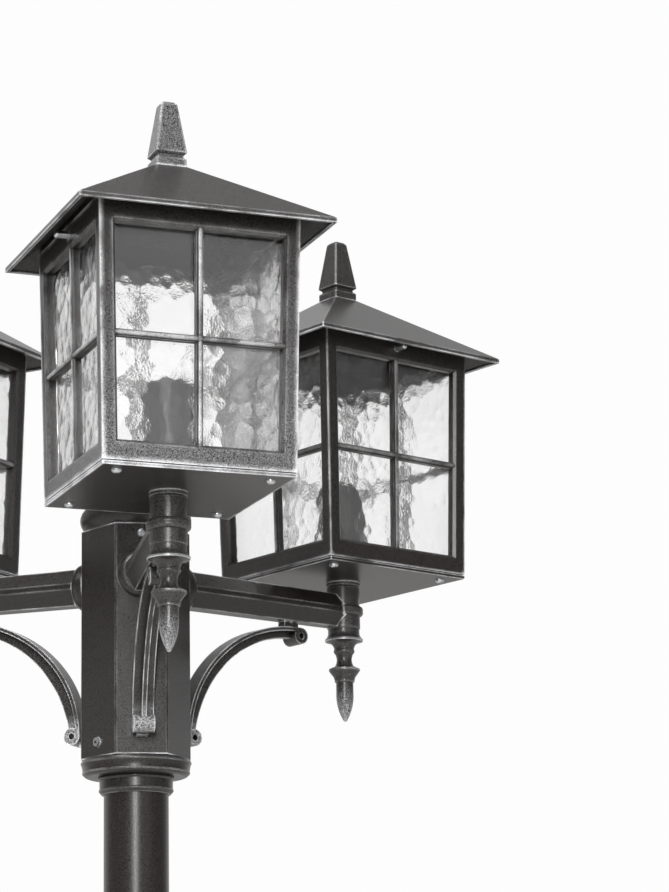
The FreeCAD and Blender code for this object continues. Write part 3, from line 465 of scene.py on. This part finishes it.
class LAMP_POST_OT_coat_lanterns(bpy.types.Operator):
    """Coat the lanterns' plates, frames and corner clips"""
    bl_idname = "lamp_post.coat_lanterns"
    bl_label = "Lantern bodies"

    def execute(self, context):
        foot = HUB_Z + FRAME_Z
        # the front lantern: more silver than the others, and more toward its foot; partly brushed silver,
        # partly painted light: a painted sheen of the lights it faces, and painted shade under the eave at
        # its top
        wear(["front_frame"],
             hammered_coat("hammered_black_front_frame", reach=5.0, thin=(0.84, 0.5), brush_and_sheen=0.3,
                           low=(foot, foot + 200 * MM), proud=(0.6, 0.9), lantern="front"))
        for side in ("right", "left"):
            wear([side + "_frame"],
                 hammered_coat("hammered_black_" + side + "_frame", reach=5.0, thin=(0.6, 0.4),
                               brush_and_sheen=0.03, proud=(0.6, 0.9), lantern=side))
        wear(["front_plate"],
             hammered_coat("hammered_black_brushed_plate", reach=2.2, thin=(0.86, 0.6), brush_and_sheen=0.04))
        wear(["right_plate", "left_plate"],
             hammered_coat("hammered_black_plates", reach=1.4, thin=(0.78, 0.55), brush_and_sheen=0.02))
        wear(each_side("corner_clips"),
             hammered_coat("hammered_black_clips", reach=0.4, thin=(0.6, 0.4), brush_and_sheen=0.0))
        return {"FINISHED"}


class LAMP_POST_OT_coat_roofs(bpy.types.Operator):
    """Coat the roofs and finials"""
    bl_idname = "lamp_post.coat_roofs"
    bl_label = "Roofs"

    def execute(self, context):
        wear(each_side("roof"),
             hammered_coat("hammered_black_roofs", reach=2.0, thin=(0.82, 0.58), brush_and_sheen=0.09))
        # the front finial: more silver than the other two, partly brushed and partly a painted sheen of the
        # lights it faces
        wear(["front_finial"],
             hammered_coat("hammered_black_brushed_and_sheen_finial", reach=2.4, thin=(0.84, 0.6), brush_and_sheen=0.28))
        wear(["right_finial", "left_finial"],
             hammered_coat("hammered_black_finials", reach=1.8, thin=(0.8, 0.58), brush_and_sheen=0.08))
        return {"FINISHED"}


class LAMP_POST_OT_fixings(bpy.types.Operator):
    """Finish the screws, nuts, pins and nipples"""
    bl_idname = "lamp_post.fixings"
    bl_label = "Screws and nuts"

    def execute(self, context):
        wear(["base_screws", "hub_set_screw", "cap_screws", "arm_nuts", "brace_pins"]
             + each_side("plate_screws", "thumb_screws", "nipple", "finial_nut"), bright_zinc())
        return {"FINISHED"}


class LAMP_POST_OT_lampholders(bpy.types.Operator):
    """Finish the lampholders, their screw shells and the terminal block"""
    bl_idname = "lamp_post.lampholders"
    bl_label = "Lampholders"

    def execute(self, context):
        wear(each_side("lampholder"), moulded_phenolic())
        wear(each_side("screw_shell"), drawn_brass())
        wear(["terminal_block"], moulded_nylon())
        return {"FINISHED"}


class LAMP_POST_OT_panes(bpy.types.Operator):
    """Make the rippled panes, four to a lantern"""
    bl_idname = "lamp_post.panes"
    bl_label = "Panes"

    def execute(self, context):
        look = context.scene.lamp_post_glass
        glass = rippled_glass()
        for number, side in enumerate(SIDES):
            points, faces = [], []
            for wall in range(4):
                pane, corners = pane_mesh(look.wave, look.pitch, 4 * number + wall)
                faces += [[corner + wall * len(pane) for corner in face] for face in corners]
                points.append(onto_wall(pane, wall, side))
            points = np.concatenate(points)
            piece = new_piece(side + "_glass", points, faces, glass, side + "_lantern")
            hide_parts(side + "_panes")
        return {"FINISHED"}


class LAMP_POST_OT_stage(bpy.types.Operator):
    """Make the floor, the backdrop, the lights and the camera"""
    bl_idname = "lamp_post.stage"
    bl_label = "Stage"

    def execute(self, context):
        look, scene = context.scene.lamp_post_stage, context.scene
        mesh = bpy.data.meshes.new("floor")
        turns = np.linspace(0, 2 * math.pi, FLOOR_CORNERS, endpoint=False)
        # 0.5 mm under the foot, so that the two faces don't flicker
        ring = np.stack([np.cos(turns) * FLOOR_RADIUS, np.sin(turns) * FLOOR_RADIUS,
                         turns * 0 - 0.5 * MM], -1)
        mesh.from_pydata(ring.tolist(), [], [list(range(FLOOR_CORNERS))])
        floor = bpy.data.objects.new("floor", mesh)
        scene.collection.objects.link(floor)
        paper, tree, shader = new_material("pale_paper_floor")
        place = add(tree, "ShaderNodeTexCoord").outputs["Object"]
        # clouds 0.4 m wide: the paper's own tooth is too fine to show
        tooth = add(tree, "ShaderNodeTexNoise", {"Vector": place, "Scale": 1 / 0.4, "Detail": 2.0}
                    ).outputs["Fac"]
        dim = tuple(0.97 * c for c in look.floor)
        colour = add(tree, "ShaderNodeMix", {"Factor": tooth, "A": (*dim, 1), "B": (*look.floor, 1)},
                     data_type="RGBA").outputs["Result"]
        tree.links.new(colour, shader.inputs["Base Color"])
        shader.inputs["Roughness"].default_value = 0.9
        mesh.materials.append(paper)

        # a bright backdrop behind the post, falling off to a dimmer room overhead and in front
        world = bpy.data.worlds.new("studio")
        world.use_nodes = True
        tree = world.node_tree
        tree.nodes.clear()
        way = add(tree, "ShaderNodeTexCoord").outputs["Generated"]
        axes = add(tree, "ShaderNodeSeparateXYZ", {"Vector": way}).outputs
        behind = add(tree, "ShaderNodeMapRange", {"Value": axes["Y"], "From Min": 0.2, "From Max": 0.85},
                     interpolation_type="SMOOTHSTEP").outputs[0]
        below = add(tree, "ShaderNodeMapRange", {"Value": axes["Z"], "From Min": 0.8, "From Max": 0.45},
                    interpolation_type="SMOOTHSTEP").outputs[0]
        lit = add(tree, "ShaderNodeMath", {0: behind, 1: below}, operation="MULTIPLY").outputs[0]
        room = add(tree, "ShaderNodeMix", {"Factor": lit, "A": (*look.room, 1), "B": (*look.sky, 1)},
                   data_type="RGBA").outputs["Result"]
        # the eye, directly or through glass, sees the backdrop's white all round, and it fills the shade;
        # only gloss shows the dimmer room
        path = add(tree, "ShaderNodeLightPath").outputs
        seen = add(tree, "ShaderNodeMath", {0: path["Is Camera Ray"], 1: path["Transmission Depth"]},
                   operation="MAXIMUM", use_clamp=True).outputs[0]
        seen = add(tree, "ShaderNodeMath", {0: path["Is Diffuse Ray"], 1: FILL, 2: seen},
                   operation="MULTIPLY_ADD", use_clamp=True).outputs[0]
        shown = add(tree, "ShaderNodeMix", {"Factor": seen, "A": room, "B": (*look.sky, 1)},
                    data_type="RGBA").outputs["Result"]
        light = add(tree, "ShaderNodeBackground", {"Color": shown}).outputs[0]
        add(tree, "ShaderNodeOutputWorld", {"Surface": light})
        scene.world = world
        scene.view_settings.view_transform = "Standard"

        for name, azimuth, rise, off, width, height, power in SOFTBOXES:
            light = bpy.data.lights.new(name, "AREA")
            light.shape, light.size, light.size_y, light.energy = "RECTANGLE", width, height, power
            a, e = math.radians(azimuth), math.radians(rise)
            away = Vector((math.sin(a) * math.cos(e), -math.cos(a) * math.cos(e), math.sin(e)))
            spot = AIM + away * off
            lamp = bpy.data.objects.new(name, light)
            lamp.location = spot
            lamp.rotation_euler = (AIM - spot).to_track_quat("-Z", "Y").to_euler()
            scene.collection.objects.link(lamp)

        # the photograph's place
        yaw, pitch, roll = (math.radians(a) for a in CAMERA_TURN)
        ahead = Vector((math.sin(yaw) * math.cos(pitch), math.cos(yaw) * math.cos(pitch), math.sin(pitch)))
        right = Vector((math.cos(yaw), -math.sin(yaw), 0))
        up = right.cross(ahead)
        right, up = (right * math.cos(roll) + up * math.sin(roll),
                     up * math.cos(roll) - right * math.sin(roll))
        data = bpy.data.cameras.new("camera")
        data.lens, data.sensor_width = look.lens, 36
        data.clip_start, data.clip_end = 0.05, 100
        camera = bpy.data.objects.new("camera", data)
        camera.matrix_world = Matrix.Translation(CAMERA_AT) @ Matrix(
            (right, up, -ahead)).transposed().to_4x4()
        scene.collection.objects.link(camera)
        scene.camera = camera
        return {"FINISHED"}


STEPS = (LAMP_POST_OT_coat_post, LAMP_POST_OT_coat_arms, LAMP_POST_OT_coat_lanterns,
         LAMP_POST_OT_coat_roofs, LAMP_POST_OT_fixings, LAMP_POST_OT_lampholders, LAMP_POST_OT_panes,
         LAMP_POST_OT_stage)


class VIEW3D_PT_lamp_post(bpy.types.Panel):
    """Steps and sizes of the lamp post"""
    bl_label = "Lamp Post"
    bl_idname = "VIEW3D_PT_lamp_post"
    bl_space_type = "VIEW_3D"
    bl_region_type = "UI"
    bl_category = "Lamp Post"

    def draw(self, context):
        for group in ("coat", "glass", "stage"):
            look = getattr(context.scene, "lamp_post_" + group)
            box = self.layout.box()
            for name in look.bl_rna.properties.keys():
                if name not in ("rna_type", "name"):
                    box.prop(look, name)
        for step in STEPS:
            self.layout.operator(step.bl_idname)


GROUPS = (("coat", LampPostCoat), ("glass", LampPostGlass), ("stage", LampPostStage))
CLASSES = tuple(group for _, group in GROUPS) + STEPS + (VIEW3D_PT_lamp_post,)


def register():
    for item in CLASSES:
        bpy.utils.register_class(item)
    for name, group in GROUPS:
        setattr(bpy.types.Scene, "lamp_post_" + name, bpy.props.PointerProperty(type=group))


def unregister():
    for name, _ in GROUPS:
        delattr(bpy.types.Scene, "lamp_post_" + name)
    for item in reversed(CLASSES):
        bpy.utils.unregister_class(item)


def main():
    """Takes every step that the panel offers."""
    register()
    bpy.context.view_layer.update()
    for step in STEPS:
        getattr(bpy.ops.lamp_post, step.bl_idname.split(".")[1])()


if __name__ == "__main__":
    main()
